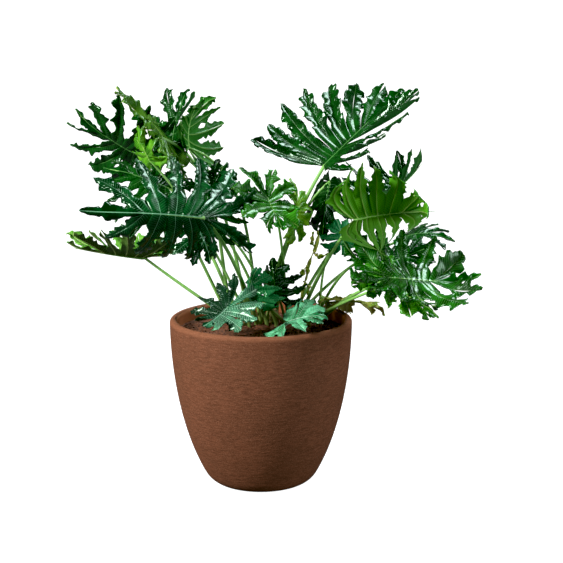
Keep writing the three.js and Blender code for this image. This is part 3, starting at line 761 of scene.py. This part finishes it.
def leaf_skin():
    tree, net, given, out = new_effect(
        "leaf skin",
        [
            ("Green", COLOUR, linear("#1f5a2c")),
            ("Light Green", COLOUR, linear("#3f8a3a")),
            ("Rib", COLOUR, linear("#8db36a")),
            ("Under", COLOUR, linear("#5d9457")),
            ("Gloss", VALUE, 0.27),
            ("Veins", VALUE, 0.3),
        ],
        [("Color", COLOUR), ("Roughness", VALUE), ("Height", VALUE)],
    )
    green, light, rib_colour = given["Green"], given["Light Green"], given["Rib"]
    spot = net.spot()
    rib, mid, along, rim, below, shade = (
        net.attribute(name) for name in ("rib", "mid", "along", "rim", "under", "shade")
    )
    clouds = net.noise(spot, 30.0, 3.0, 0.6)
    puckers = net.noise(spot, 95.0)
    fine = net.noise(spot, 420.0, 2.0, 0.6)
    slant = net.plus(net.times(along, 0.19), net.times(rib, -0.13))
    slant = net.plus(slant, net.times(clouds, 0.4))
    comb = net.math("ABSOLUTE", net.math("SUBTRACT", net.math("FRACT", slant), 0.5))
    vein = net.times(net.span(comb, 0.0, 0.13, 1.0, 0.0), net.span(rib, 26.0, 6.0))
    veins = net.times(vein, given["Veins"])
    edge = net.times(net.span(rim, 0.3, 0.0, 0.0, 0.5), net.span(puckers, 0.4, 0.6))
    side_rib = net.times(net.span(rib, 0.15, 0.75, 1.0, 0.0), 0.65)
    midrib = net.times(net.span(mid, 0.5, 1.5, 1.0, 0.0), 0.85)
    pale = net.math("MAXIMUM", side_rib, midrib)
    upper = net.blend(net.span(clouds, 0.4, 0.64), green, light)
    for factor, colour in ((veins, rib_colour), (edge, light), (pale, rib_colour)):
        upper = net.blend(factor, upper, colour)
    lower = net.blend(net.times(clouds, 0.4), given["Under"], light)
    for factor in (veins, net.math("MULTIPLY", pale, 1.4, clamp=True)):
        lower = net.blend(factor, lower, rib_colour)
    colour = net.blend(below, upper, lower)
    # Painted sheen: a half whose shade is above 0 is blended towards the rib colour. Painted shade:
    # below 0 it is blended towards a near-black green.
    colour = net.blend(net.math("MAXIMUM", shade, 0.0), colour, rib_colour)
    painted_shade_part = net.math("MAXIMUM", net.times(shade, -1.0), 0.0)
    net.wire(net.blend(painted_shade_part, colour, PAINTED_SHADE_GREEN), out["Color"])
    rough = net.plus(given["Gloss"], net.times(fine, 0.06))
    net.wire(net.plus(rough, net.times(below, 0.22)), out["Roughness"])
    height = net.plus(net.times(vein, -0.3), net.times(clouds, 1.2))
    net.wire(net.plus(height, net.times(puckers, 0.5)), out["Height"])
    return tree


LEAF_SKIN = leaf_skin()
TONES = {
    # The tone deep is a darker green that stands in for the shade among the other leaves: painted
    # shade.
    "deep": ("#021e05", "#083609", "#3c7a3c", "#1b4a1c", 0.13, 0.3),
    "dark": ("#042a07", "#0b460e", "#5f9a52", "#2a6a2a", 0.13, 0.18),
    "blue": ("#022608", "#084418", "#84c49a", "#2a6a40", 0.11, 0.15),
    "mid": ("#063604", "#15600c", "#86b860", "#2a7420", 0.15, 0.3),
    "bright": ("#1f6c0a", "#3f9018", "#b4dc74", "#5aa820", 0.19, 0.3),
    "young": ("#2a6c0a", "#54961c", "#a8cc6c", "#5a9020", 0.23, 0.3),
    "lime": ("#3a7c0a", "#7ab224", "#c0d878", "#74a040", 0.25, 0.3),
    "jade": ("#187438", "#38985c", "#8cc898", "#3f8a58", 0.17, 0.3),
    "mint": ("#1c6c3a", "#68c492", "#c8f0d8", "#6ab88a", 0.2, 0.4),
    "olive": ("#468f20", "#78bc48", "#c4dc8c", "#28340e", 0.23, 0.3),
    "fresh": ("#0f5606", "#36921a", "#98c860", "#4a9020", 0.2, 0.35),
    "pale": ("#7aa42c", "#c0c060", "#d4d890", "#b4b858", 0.3, 0.3),
    "moss": ("#24520a", "#508420", "#a8b868", "#3c6420", 0.2, 0.3),
    "veined": ("#0a4022", "#2c7850", "#a4dcbc", "#3a8058", 0.22, 0.75),
}


def leaf_material(tone):
    *codes, gloss, veins = TONES[tone]
    material, net, shader = new_material("leaf " + tone)
    given = dict(zip(("Green", "Light Green", "Rib", "Under"), map(linear, codes)))
    given.update({"Gloss": gloss, "Veins": veins})
    skin = net.add("ShaderNodeGroup", given, node_tree=LEAF_SKIN).outputs
    surface(net, shader, skin["Color"], skin["Roughness"], skin["Height"], strength=0.6)
    shader.inputs["Specular IOR Level"].default_value = 0.5
    shader.inputs["Specular Tint"].default_value = SKIN_SHINE
    return material


LEAF_MATERIALS = {tone: leaf_material(tone) for tone in TONES}
print("leaf tones:", ", ".join(TONES))

# %% [markdown]
# ## The skin of a stalk
# Stalks are smooth and pale green with short pale streaks along them. Near the soil they are
# darker and browner: partly their own colour, partly painted shade. The same skin is used for
# all leaves, so it reads only the place of each point.

# %% Stalk skin
def stalk_material():
    material, net, shader = new_material("stalk")
    spot = net.spot()
    streaks = net.noise(net.stretch(spot, (160, 160, 22)), 1.0, 3.0, 0.6)
    # Darker and browner near the soil: partly the stalk's own colour, partly painted shade.
    low = net.span(net.apart(spot)["Z"], 0.36, 0.43, 1.0, 0.0)
    fleck = net.span(net.noise(spot, 700.0, 1.0, 0.5), 0.62, 0.7)
    colour = net.blend(streaks, linear("#64ac40"), linear("#a2d87c"))
    colour = net.tint(colour, "#5e6c32", low, 0.85)
    colour = net.tint(colour, "#b9c48a", fleck, 0.35)
    surface(net, shader, colour, net.plus(0.33, net.times(streaks, 0.15)), streaks, 0.0006, 0.3)
    return material


STALK_MATERIAL = stalk_material()
print("stalk skin nodes:", len(STALK_MATERIAL.node_tree.nodes))

# %% [markdown]
# ## From points to a mesh
# All shapes are worked out in millimetres and stored in metres. Facts kept with the points,
# such as the distance to the nearest rib, become attributes that the skins read. A tree is run
# as a modifier, and the plain mesh that it gives is kept without the modifier.

# %% Mesh helpers
def mesh_of(name, points, faces, facts=None, edges=()):
    mesh = bpy.data.meshes.new(name)
    mesh.from_pydata((np.asarray(points) * MM).tolist(), list(edges), faces)
    for key, values in (facts or {}).items():
        layer = mesh.attributes.new(key, "FLOAT", "POINT")
        layer.data.foreach_set("value", np.asarray(values, np.float32))
    mesh.polygons.foreach_set("use_smooth", [True] * len(mesh.polygons))
    return mesh


def add_object(name, data):
    thing = bpy.data.objects.new(name, data)
    bpy.context.scene.collection.objects.link(thing)
    return thing


def baked(thing):
    graph = bpy.context.evaluated_depsgraph_get()
    mesh = bpy.data.meshes.new_from_object(thing.evaluated_get(graph), depsgraph=graph)
    thing.modifiers.clear()
    return mesh


def run_tree(name, mesh, tree, **inputs):
    thing = add_object(name, mesh)
    modifier = thing.modifiers.new("rule", "NODES")
    modifier.node_group = tree
    for label, value in inputs.items():
        set_input(modifier, tree, label, value)
    thing.data = baked(thing)
    return thing


def triangles(thing):
    return sum(len(p.vertices) - 2 for p in thing.data.polygons)


print("one millimetre is", MM, "of Blender's metres")

# %% [markdown]
# ## Stalks of the leaves
# The stalk starts upright a little below the soil's surface, leans out in one long curve and
# meets the blade at the joint. From there it runs on under the blade as the midrib.

# %% Stalk paths
def place_feet():
    for name, crown in CROWNS.items():
        group = [leaf for leaf in LEAVES.values() if leaf["crown"] == name]
        for leaf in group:
            turn = 2 * math.pi * (leaf["place"] + 0.5) / len(group) - math.pi
            leaf["foot"] = (
                crown["at"][0] + crown["ring"] * math.cos(turn),
                crown["at"][1] + crown["ring"] * math.sin(turn),
            )


def stalk_path(leaf, blade):
    length = blade["length"]
    wide = 2.7 + length / 74
    slim = 1.8 + length / 140
    foot = np.array([*leaf["foot"], SOIL_TOP + 10.0])
    way = blade["joint"] - foot
    far = np.linalg.norm(way)
    way = way / far
    rising = unit(way + UP * leaf["arch"])
    leaning = unit(way - UP * leaf["arch"])
    end = blade["joint"] - blade["normal"] * 0.55 * slim
    t = np.linspace(0, 1, max(14, int(far / 11)))[:, None]
    path = (
        foot * (1 - t) ** 3
        + (foot + rising * 0.36 * far) * 3 * t * (1 - t) ** 2
        + (end - leaning * 0.36 * far) * 3 * t**2 * (1 - t)
        + end * t**3
    )
    radius = wide + (slim - wide) * np.sqrt(t[:, 0])
    below = np.array([[*leaf["foot"], SOIL_TOP - down] for down in (PETIOLE_DEPTH, 3.0)])
    x = np.linspace(0, 0.9, 24)[1:] * length
    rib_radius = slim + (0.5 - slim) * (x / x[-1]) ** 0.75
    under = on_blade(blade, leaf, x, x * 0, -0.95 * rib_radius - 0.1)
    path = np.concatenate([below, path, under])
    radius = np.concatenate([[wide, wide], radius, rib_radius])
    return path, radius


place_feet()
print("feet:", {name: [round(v) for v in leaf["foot"]] for name, leaf in list(LEAVES.items())[:3]})

# %% [markdown]
# ## Building the leaves
# Each leaf is one piece: the blade's shell and its stalk. It takes the place of its solid.

# %% Leaf pieces
def build_leaf(name, leaf):
    blade = blade_frame(leaf)
    points, facts, faces = blade_shell(leaf, blade)
    sheet = mesh_of("blade_" + name, points, faces, facts)
    path, radius = stalk_path(leaf, blade)
    steps = [(k, k + 1) for k in range(len(path) - 1)]
    line = mesh_of("line_" + name, path, [], {"thick": radius * MM}, steps)
    rod = run_tree("stalk_" + name, line, STALK_TREE, Sides=STALK_SIDES, Material=STALK_MATERIAL)
    piece = add_object("plant_" + name, sheet)
    sheet.materials.append(LEAF_MATERIALS[leaf["tone"]])
    sheet.materials.append(STALK_MATERIAL)
    whole = bmesh.new()
    whole.from_mesh(sheet)
    blade_faces = len(whole.faces)
    whole.from_mesh(rod.data)
    whole.faces.ensure_lookup_table()
    for face in whole.faces[blade_faces:]:
        face.material_index = 1
        face.smooth = True
    whole.to_mesh(sheet)
    whole.free()
    bpy.data.objects.remove(rod)
    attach(piece, "root")
    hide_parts("leaf_" + name)
    return piece


leaf_pieces = {name: build_leaf(name, leaf) for name, leaf in LEAVES.items()}
print("leaf triangles:", sum(triangles(piece) for piece in leaf_pieces.values()))

# %% [markdown]
# ## A withered leaf
# One old leaf has dried up among the stalks. What is left is a limp crumpled strip with a few
# shrivelled lobes. Each strip has a path and half a width, and its width and its turn change on
# the way, so it looks crumpled. All strips are one piece, which stands for no solid.

# %% Withered leaf
WITHERED = [
    (
        [
            (93, 62, 346), (91, 62, 395), (95, 60, 432), (103, 64, 462),
            (117, 62, 504), (127, 66, 545), (123, 62, 568),
        ],
        5.2,
    ),
    ([(117, 62, 500), (128, 56, 495), (144, 54, 501), (156, 56, 494)], 7.0),
    ([(104, 62, 473), (94, 56, 465), (87, 52, 448)], 6.0),
    ([(121, 62, 516), (111, 58, 530), (114, 56, 550)], 6.5),
    ([(96, 62, 440), (106, 56, 427), (103, 54, 408)], 6.0),
]


def crumpled_strip(knots, width, seed):
    knots = np.array(knots, float)
    count = 12 * len(knots)
    t = np.linspace(0, len(knots) - 1, count)
    whole = np.minimum(t.astype(int), len(knots) - 2)
    share = smooth(t - whole)[:, None]
    path = knots[whole] * (1 - share) + knots[whole + 1] * share
    path += 1.4 * np.sin(np.multiply.outer(t, [3.1, 4.3, 2.3]) + seed)
    turn = 1.2 * np.sin(2.1 * t + 1.7 * seed) + 0.8 * np.sin(5.3 * t + seed)
    ends = np.clip(np.minimum(t + 0.3, len(knots) - 0.9 - t) * 2, 0.15, 1)
    uneven = 0.75 + 0.3 * np.sin(4.7 * t + seed) + 0.25 * np.sin(11.3 * t + 2 * seed)
    half = width * ends * uneven
    along = np.gradient(path, axis=0)
    along /= np.linalg.norm(along, axis=1)[:, None]
    level = np.cross(along, [0.0, 1.0, 0.0])
    depth = np.cross(level, along)
    out = level * np.cos(turn)[:, None] + depth * np.sin(turn)[:, None]
    thick = np.cross(along, out) * 1.1
    wide = out * half[:, None]
    corners = [path + wide * a + thick * b for a, b in ((1, 1), (-1, 1), (-1, -1), (1, -1))]
    points = np.stack(corners, 1).reshape(-1, 3)
    faces = [[3, 2, 1, 0], list(range(4 * count - 4, 4 * count))]
    for k in range(count - 1):
        for c in range(4):
            d = (c + 1) % 4
            faces.append([4 * k + c, 4 * k + d, 4 * k + 4 + d, 4 * k + 4 + c])
    return points, faces


def withered_material():
    material, net, shader = new_material("withered leaf")
    spot = net.spot()
    blotch = net.noise(spot, 70.0, 3.0, 0.6)
    dry = net.span(net.noise(spot, 150.0, 2.0, 0.6), 0.54, 0.66)
    colour = net.blend(net.span(blotch, 0.4, 0.62), linear("#9cc030"), linear("#dcdc70"))
    colour = net.tint(colour, "#7a6428", dry, 0.45)
    surface(net, shader, colour, net.plus(0.5, net.times(blotch, 0.3)), blotch)
    return material


strips = [crumpled_strip(knots, width, seed) for seed, (knots, width) in enumerate(WITHERED)]
starts = np.cumsum([0] + [len(points) for points, _ in strips])
withered = add_object("withered_leaf", mesh_of(
    "withered_leaf",
    np.concatenate([points for points, _ in strips]),
    [
        [v + int(start) for v in face]
        for start, (_, faces) in zip(starts, strips)
        for face in faces
    ],
))
withered.data.materials.append(withered_material())
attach(withered, "root")
print("withered leaf triangles:", triangles(withered))

# %% [markdown]
# ## The planter
# The wall is one turned profile. The photo shows a matte, grainy wall with fine uneven lines
# round it. The lines are cut into the mesh: a tree moves each point in or out along its normal
# by a noise that is long round the pot and short up the pot. The grain is in the finish. So are
# painted light that makes the upper inner wall lighter and a painted highlight along the top of
# the lip.

# %% Planter
PLANTER_SIDES = 196
WALL_ROWS = 400
CORNER_ROWS = 22
COMB_DEPTH = 0.0008
COMB_LINES = 270.0
INNER_HEIGHTS = (342, 320, 285, 250, 210, 175, 140, 110, 80, 50)


def side_radius(height):
    return LIP_RADIUS * math.sqrt(1 - ((POT_HEIGHT - height) / SIDE_ELLIPSE) ** 2)


def inner_profile(gap):
    points = [(side_radius(h) - WALL - gap, h) for h in INNER_HEIGHTS]
    return points + [(side_radius(50) - WALL - 24 - gap, WALL + gap), (0, WALL + gap)]


def pot_profile():
    points = [(0, 0), (40, 0), (FOOT_FLAT_RADIUS - 3, 0)]
    slope = (side_radius(30) - side_radius(28)) / 2
    ends = [(FOOT_FLAT_RADIUS, 0.0), (FOOT_FLAT_RADIUS + 17, 0.6)]
    ends += [(side_radius(28) - 17 * slope, 11.0), (side_radius(28), 28.0)]
    a, b, c, d = np.array(ends)
    for t in np.linspace(0, 1, CORNER_ROWS):
        u = 1 - t
        points.append(tuple(a * u**3 + 3 * b * t * u**2 + 3 * c * t**2 * u + d * t**3))
    top = POT_HEIGHT - LIP_ROUND
    points += [(side_radius(h), h) for h in np.linspace(29.0, top - 1.5, WALL_ROWS)]
    for turn in np.linspace(0, math.pi, 15):
        out = LIP_RADIUS - LIP_ROUND + LIP_ROUND * math.cos(turn)
        points.append((out, top + LIP_ROUND * math.sin(turn)))
    return points + inner_profile(0)


def lathe(profile, sides):
    turns = np.arange(sides) * 2 * math.pi / sides
    points = []
    rings = []
    for radius, height in profile:
        if radius < 1e-6:
            rings.append([len(points)])
            points.append((0, 0, height))
        else:
            rings.append(list(range(len(points), len(points) + sides)))
            points += [(radius * math.cos(a), radius * math.sin(a), height) for a in turns]
    faces = []
    for low, high in zip(rings, rings[1:]):
        for k in range(sides):
            j = (k + 1) % sides
            if len(low) == 1:
                faces.append([low[0], high[j], high[k]])
            elif len(high) == 1:
                faces.append([low[k], low[j], high[0]])
            else:
                faces.append([low[k], low[j], high[j], high[k]])
    return np.array(points), faces


def comb_tree():
    sockets = [("Depth", VALUE, COMB_DEPTH), ("Lines", VALUE, COMB_LINES)]
    tree, net, start = new_tree("combed", sockets)
    x, y, z = net.apart(net.add("GeometryNodeInputPosition").outputs[0])
    squeezed = {"X": net.times(x, 60.0), "Y": net.times(y, 60.0)}
    squeezed["Z"] = net.times(z, start["Lines"])
    lines = net.noise(net.add("ShaderNodeCombineXYZ", squeezed).outputs[0], 1.0, 3.0, 0.6)
    above = net.math("GREATER_THAN", z, 0.02)
    below = net.math("LESS_THAN", z, (POT_HEIGHT - 12) * MM)
    push = net.times(net.math("SUBTRACT", lines, 0.5), start["Depth"])
    push = net.times(push, net.times(above, below))
    offset = net.scaled(net.add("GeometryNodeInputNormal").outputs[0], push)
    moved = net.add("GeometryNodeSetPosition", {"Geometry": start["Geometry"], "Offset": offset})
    end_tree(net, moved.outputs[0], start["Material"])
    return tree


def pot_material():
    material, net, shader = new_material("planter")
    spot = net.spot()
    x, y, z = net.apart(spot)
    combed = net.noise(net.stretch(spot, (60, 60, 400)), 1.0, 2.0, 0.6)
    grain = net.noise(spot, 560.0, 2.0, 0.7)
    cloud = net.noise(spot, 9.0, 3.0, 0.55)
    flat = net.add("ShaderNodeCombineXYZ", {"X": x, "Y": y}).outputs[0]
    away = net.add("ShaderNodeVectorMath", {0: flat}, operation="LENGTH").outputs["Value"]
    inside = net.times(net.span(away, 0.187, 0.184), net.span(z, 0.3, 0.34))
    colour = net.blend(net.span(combed, 0.32, 0.68), linear("#613a27"), linear("#784a34"))
    for code, factor, strength in (
        ("#583724", net.span(cloud, 0.4, 0.7), 0.3),
        ("#40281a", net.span(grain, 0.54, 0.68), 0.5),
        ("#9c7058", net.span(grain, 0.46, 0.32), 0.45),
        # Painted light: the upper part of the inner wall is made lighter.
        ("#b8704c", inside, 0.8),
        # Painted highlight: a lighter band along the top of the lip.
        ("#a46a4a", net.span(z, 0.357, 0.364), 0.25),
    ):
        colour = net.tint(colour, code, factor, strength)
    height = net.plus(grain, net.times(combed, 0.8))
    surface(net, shader, colour, net.plus(0.72, net.times(grain, 0.15)), height, 0.0008, 0.6)
    shader.inputs["Specular IOR Level"].default_value = 0.2
    return material


planter = run_tree(
    "planter",
    mesh_of("planter", *lathe(pot_profile(), PLANTER_SIDES)),
    comb_tree(),
    Depth=COMB_DEPTH,
    Lines=COMB_LINES,
    Material=pot_material(),
)
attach(planter, "root")
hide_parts("pot")
print("planter triangles:", triangles(planter))

# %% [markdown]
# ## The soil
# Potting soil is a loose mix of fibres, crumbs and dark dust. A lumpy round block fills the
# pot up to just under the lip, and a tree scatters crumbs of different sizes over its top.

# %% Soil
SOIL_SIDES = 140
CRUMB_DENSITY = 9000.0
CRUMB_SIZE = 0.0024
CRUMB_SEED = 4


def soil_mesh():
    top = [(r, SOIL_TOP + SOIL_MOUND * (1 - (r / 181) ** 2)) for r in np.linspace(180, 4, 56)]
    side = inner_profile(GAP)[::-1]
    profile = [(0, WALL + GAP)] + side[1:] + top + [(0, SOIL_TOP + SOIL_MOUND)]
    points, faces = lathe(profile, SOIL_SIDES)
    on_top = points[:, 2] > SOIL_TOP - 1
    inside = on_top & (np.hypot(points[:, 0], points[:, 1]) < 179)
    x, y = points[:, 0], points[:, 1]
    lumps = (
        1.6 * np.sin(x / 9.1 + 1.3 * np.sin(y / 13.7))
        + 1.3 * np.sin(y / 7.3 + 1.7 * np.sin(x / 11.9))
        + 0.8 * np.sin((x + y) / 4.1)
    )
    points[inside, 2] += lumps[inside] * 0.8 - 1.5
    return mesh_of("soil_block", points, faces, {"top": inside.astype(float)})


def crumb_tree():
    sockets = [("Density", VALUE, CRUMB_DENSITY), ("Size", VALUE, CRUMB_SIZE)]
    tree, net, start = new_tree("crumbs", sockets + [("Seed", WHOLE, CRUMB_SEED)])
    scatter = net.add("GeometryNodeDistributePointsOnFaces", {
        "Mesh": start["Geometry"],
        "Selection": net.math("GREATER_THAN", net.named("top"), 0.5),
        "Density": start["Density"],
        "Seed": start["Seed"],
    })
    ball = net.add("GeometryNodeMeshIcoSphere", {"Radius": start["Size"], "Subdivisions": 2})
    place = net.add("GeometryNodeInputPosition").outputs[0]
    dent = net.times(net.math("SUBTRACT", net.noise(place, 420.0, 1.0, 0.5), 0.5), 1.6)
    crumb = net.add("GeometryNodeSetPosition", {
        "Geometry": ball.outputs["Mesh"],
        "Offset": net.scaled(place, dent),
    })
    vector = {"data_type": "FLOAT_VECTOR"}
    sizes = {"Min": (0.4, 0.3, 0.25), "Max": (1.7, 1.1, 0.9), "Seed": start["Seed"]}
    turns = {"Max": (6.28, 6.28, 6.28), "Seed": start["Seed"]}
    copies = net.add("GeometryNodeInstanceOnPoints", {
        "Points": scatter.outputs["Points"],
        "Instance": crumb.outputs[0],
        "Scale": net.add("FunctionNodeRandomValue", sizes, **vector).outputs[0],
        "Rotation": net.add("FunctionNodeRandomValue", turns, **vector).outputs[0],
    })
    both = net.add("GeometryNodeJoinGeometry")
    net.wire(copies.outputs[0], both.inputs[0])
    net.wire(start["Geometry"], both.inputs[0])
    end_tree(net, both.outputs[0], start["Material"])
    return tree


def soil_material():
    material, net, shader = new_material("soil")
    spot = net.spot()
    crumbs = net.noise(spot, 160.0, 3.0, 0.6)
    dust = net.noise(spot, 900.0, 2.0, 0.6)
    colour = net.blend(net.span(crumbs, 0.4, 0.62), linear("#472616"), linear("#7a482e"))
    colour = net.tint(colour, "#77563a", net.span(dust, 0.6, 0.72), 0.5)
    surface(net, shader, colour, net.plus(0.8, net.times(dust, 0.15)), dust)
    return material


soil = run_tree(
    "potting_soil",
    soil_mesh(),
    crumb_tree(),
    Density=CRUMB_DENSITY,
    Seed=CRUMB_SEED,
    Material=soil_material(),
)
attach(soil, "root")
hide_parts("soil")
print("soil triangles:", triangles(soil))

# %% [markdown]
# ## The crown stems
# Each crown is a short stem that lies mostly in the soil. Old stalks leave scars in rings
# round it, so its side steps in and out, and it ends in a blunt growing tip.

# %% Crown stems
STEM_SIDES = 40
SCAR_STEP = 5.2


def stem_profile():
    bottom = SOIL_TOP - CROWN_DEPTH
    top = SOIL_TOP + CROWN_HEIGHT
    heights = np.linspace(bottom + 1, top - 2, 44)
    points = [(0, bottom), (CROWN_RADIUS - 1, bottom)]
    for h in heights:
        knots = [(bottom, CROWN_RADIUS), (SOIL_TOP + 8, CROWN_RADIUS), (top - 8, 10.2), (top, 6)]
        radius = np.interp(h, *zip(*knots))
        scar = abs(math.sin(math.pi * (h - bottom) / SCAR_STEP)) ** 0.5
        points.append((radius - 0.9 * (1 - scar), h))
    return points + [(4.2, top - 0.5), (0, top)]


def stem_material():
    material, net, shader = new_material("crown stem")
    spot = net.spot()
    bark = net.noise(net.stretch(spot, (120, 120, 300)), 1.0, 4.0, 0.6)
    colour = net.blend(net.span(bark, 0.35, 0.65), linear("#4d3f22"), linear("#7d7441"))
    colour = net.tint(colour, "#5f7a38", net.span(net.noise(spot, 60.0), 0.5, 0.65), 0.6)
    surface(net, shader, colour, net.plus(0.6, net.times(bark, 0.2)), bark)
    return material


STEM_MATERIAL = stem_material()
for name, crown in CROWNS.items():
    points, faces = lathe(stem_profile(), STEM_SIDES)
    around = np.arctan2(points[:, 1], points[:, 0])
    bulge = 1 + 0.05 * np.sin(3 * around + crown["ring"] + points[:, 2] / 5)
    points[:, :2] *= np.minimum(bulge, 1.0)[:, None]
    points[:, :2] += crown["at"]
    stem = add_object("crown_" + name, mesh_of("crown_" + name, points, faces))
    stem.data.materials.append(STEM_MATERIAL)
    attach(stem, "root")
    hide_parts("stem_" + name)
print("crowns:", ", ".join(CROWNS))

# %% [markdown]
# ## Floor, light and camera
# A light from the left gives the pot its lit side, a weaker one from the right opens the
# shadows, and one above and behind lights the upper leaves. The floor and the backdrop are
# white only to the camera. For bounced light they are dark, so no grey haze lies on the glossy
# leaves. The curves of the view set where black and white are.

# %% Studio
CAMERA_PLACE = (0.045, -2.9, 1.008)
CAMERA_DOWN = 10.9
CAMERA_LENS = 86.39
AIM = (0.0, 0.0, 0.45)
BOUNCED, SEEN = 0.05, 1.0


def sweep():
    rows = [(-6.0, 0.0), (2.2, 0.0)]
    rows += [(2.2 + 1.5 * math.sin(a), 1.5 - 1.5 * math.cos(a)) for a in np.linspace(0.1, 1.57, 12)]
    rows.append((3.7, 6.0))
    points = [(x * 1000, y * 1000, z * 1000) for y, z in rows for x in (-7, 7)]
    faces = [[2 * k, 2 * k + 1, 2 * k + 3, 2 * k + 2] for k in range(len(rows) - 1)]
    return mesh_of("sweep", points, faces)


floor_material, net, shader = new_material("white sweep")
paper = net.noise(net.spot(), 3.0)
seen = net.add("ShaderNodeLightPath").outputs["Is Camera Ray"]
white = net.blend(paper, linear("#9a9a9a"), linear("#a4a4a4"))
net.wire(net.blend(seen, linear("#484848"), white), shader.inputs["Base Color"])
shader.inputs["Roughness"].default_value = 0.9
shader.inputs["Emission Color"].default_value = (1, 1, 1, 1)
net.wire(net.times(seen, 0.95), shader.inputs["Emission Strength"])
floor = add_object("sweep", sweep())
floor.data.materials.append(floor_material)

world = bpy.data.worlds.new("studio")
world.use_nodes = True
backdrop = world.node_tree.nodes["Background"].inputs
backdrop["Color"].default_value = (0.95, 0.98, 1.0, 1)
net = Net(world.node_tree)
seen = net.add("ShaderNodeLightPath").outputs["Is Camera Ray"]
net.wire(net.span(seen, 0.0, 1.0, BOUNCED, SEEN), backdrop["Strength"])
bpy.context.scene.world = world


def add_light(name, place, size, power, colour):
    data = bpy.data.lights.new(name, "AREA")
    data.shape = "DISK"
    data.size = size
    data.energy = power
    data.color = colour
    light = add_object(name, data)
    light.location = place
    aim = np.array(AIM) - np.array(place)
    pitch = math.atan2(math.hypot(aim[0], aim[1]), -aim[2])
    light.rotation_euler = (pitch, 0, math.atan2(-aim[0], aim[1]))


add_light("key", (-2.95, -1.7, 2.2), 0.9, 232.0, (1.0, 0.98, 0.95))
add_light("fill", (2.9, -1.6, 1.2), 1.8, 66.0, (0.95, 0.98, 1.0))
add_light("top", (0.9, 0.9, 3.1), 1.3, 80.0, (0.85, 0.95, 1.0))

camera = add_object("camera", bpy.data.cameras.new("camera"))
camera.data.lens = CAMERA_LENS
camera.data.sensor_width = 36
camera.location = CAMERA_PLACE
camera.rotation_euler = (math.radians(90 - CAMERA_DOWN), 0, 0)
bpy.context.scene.camera = camera
grade = bpy.context.scene.view_settings
grade.view_transform = "Standard"
grade.use_curve_mapping = True
grade.curve_mapping.black_level = (0.0055, 0.004, 0.0055)
grade.curve_mapping.white_level = (0.93, 0.93, 0.93)
grade.curve_mapping.update()
print("camera at", tuple(camera.location))
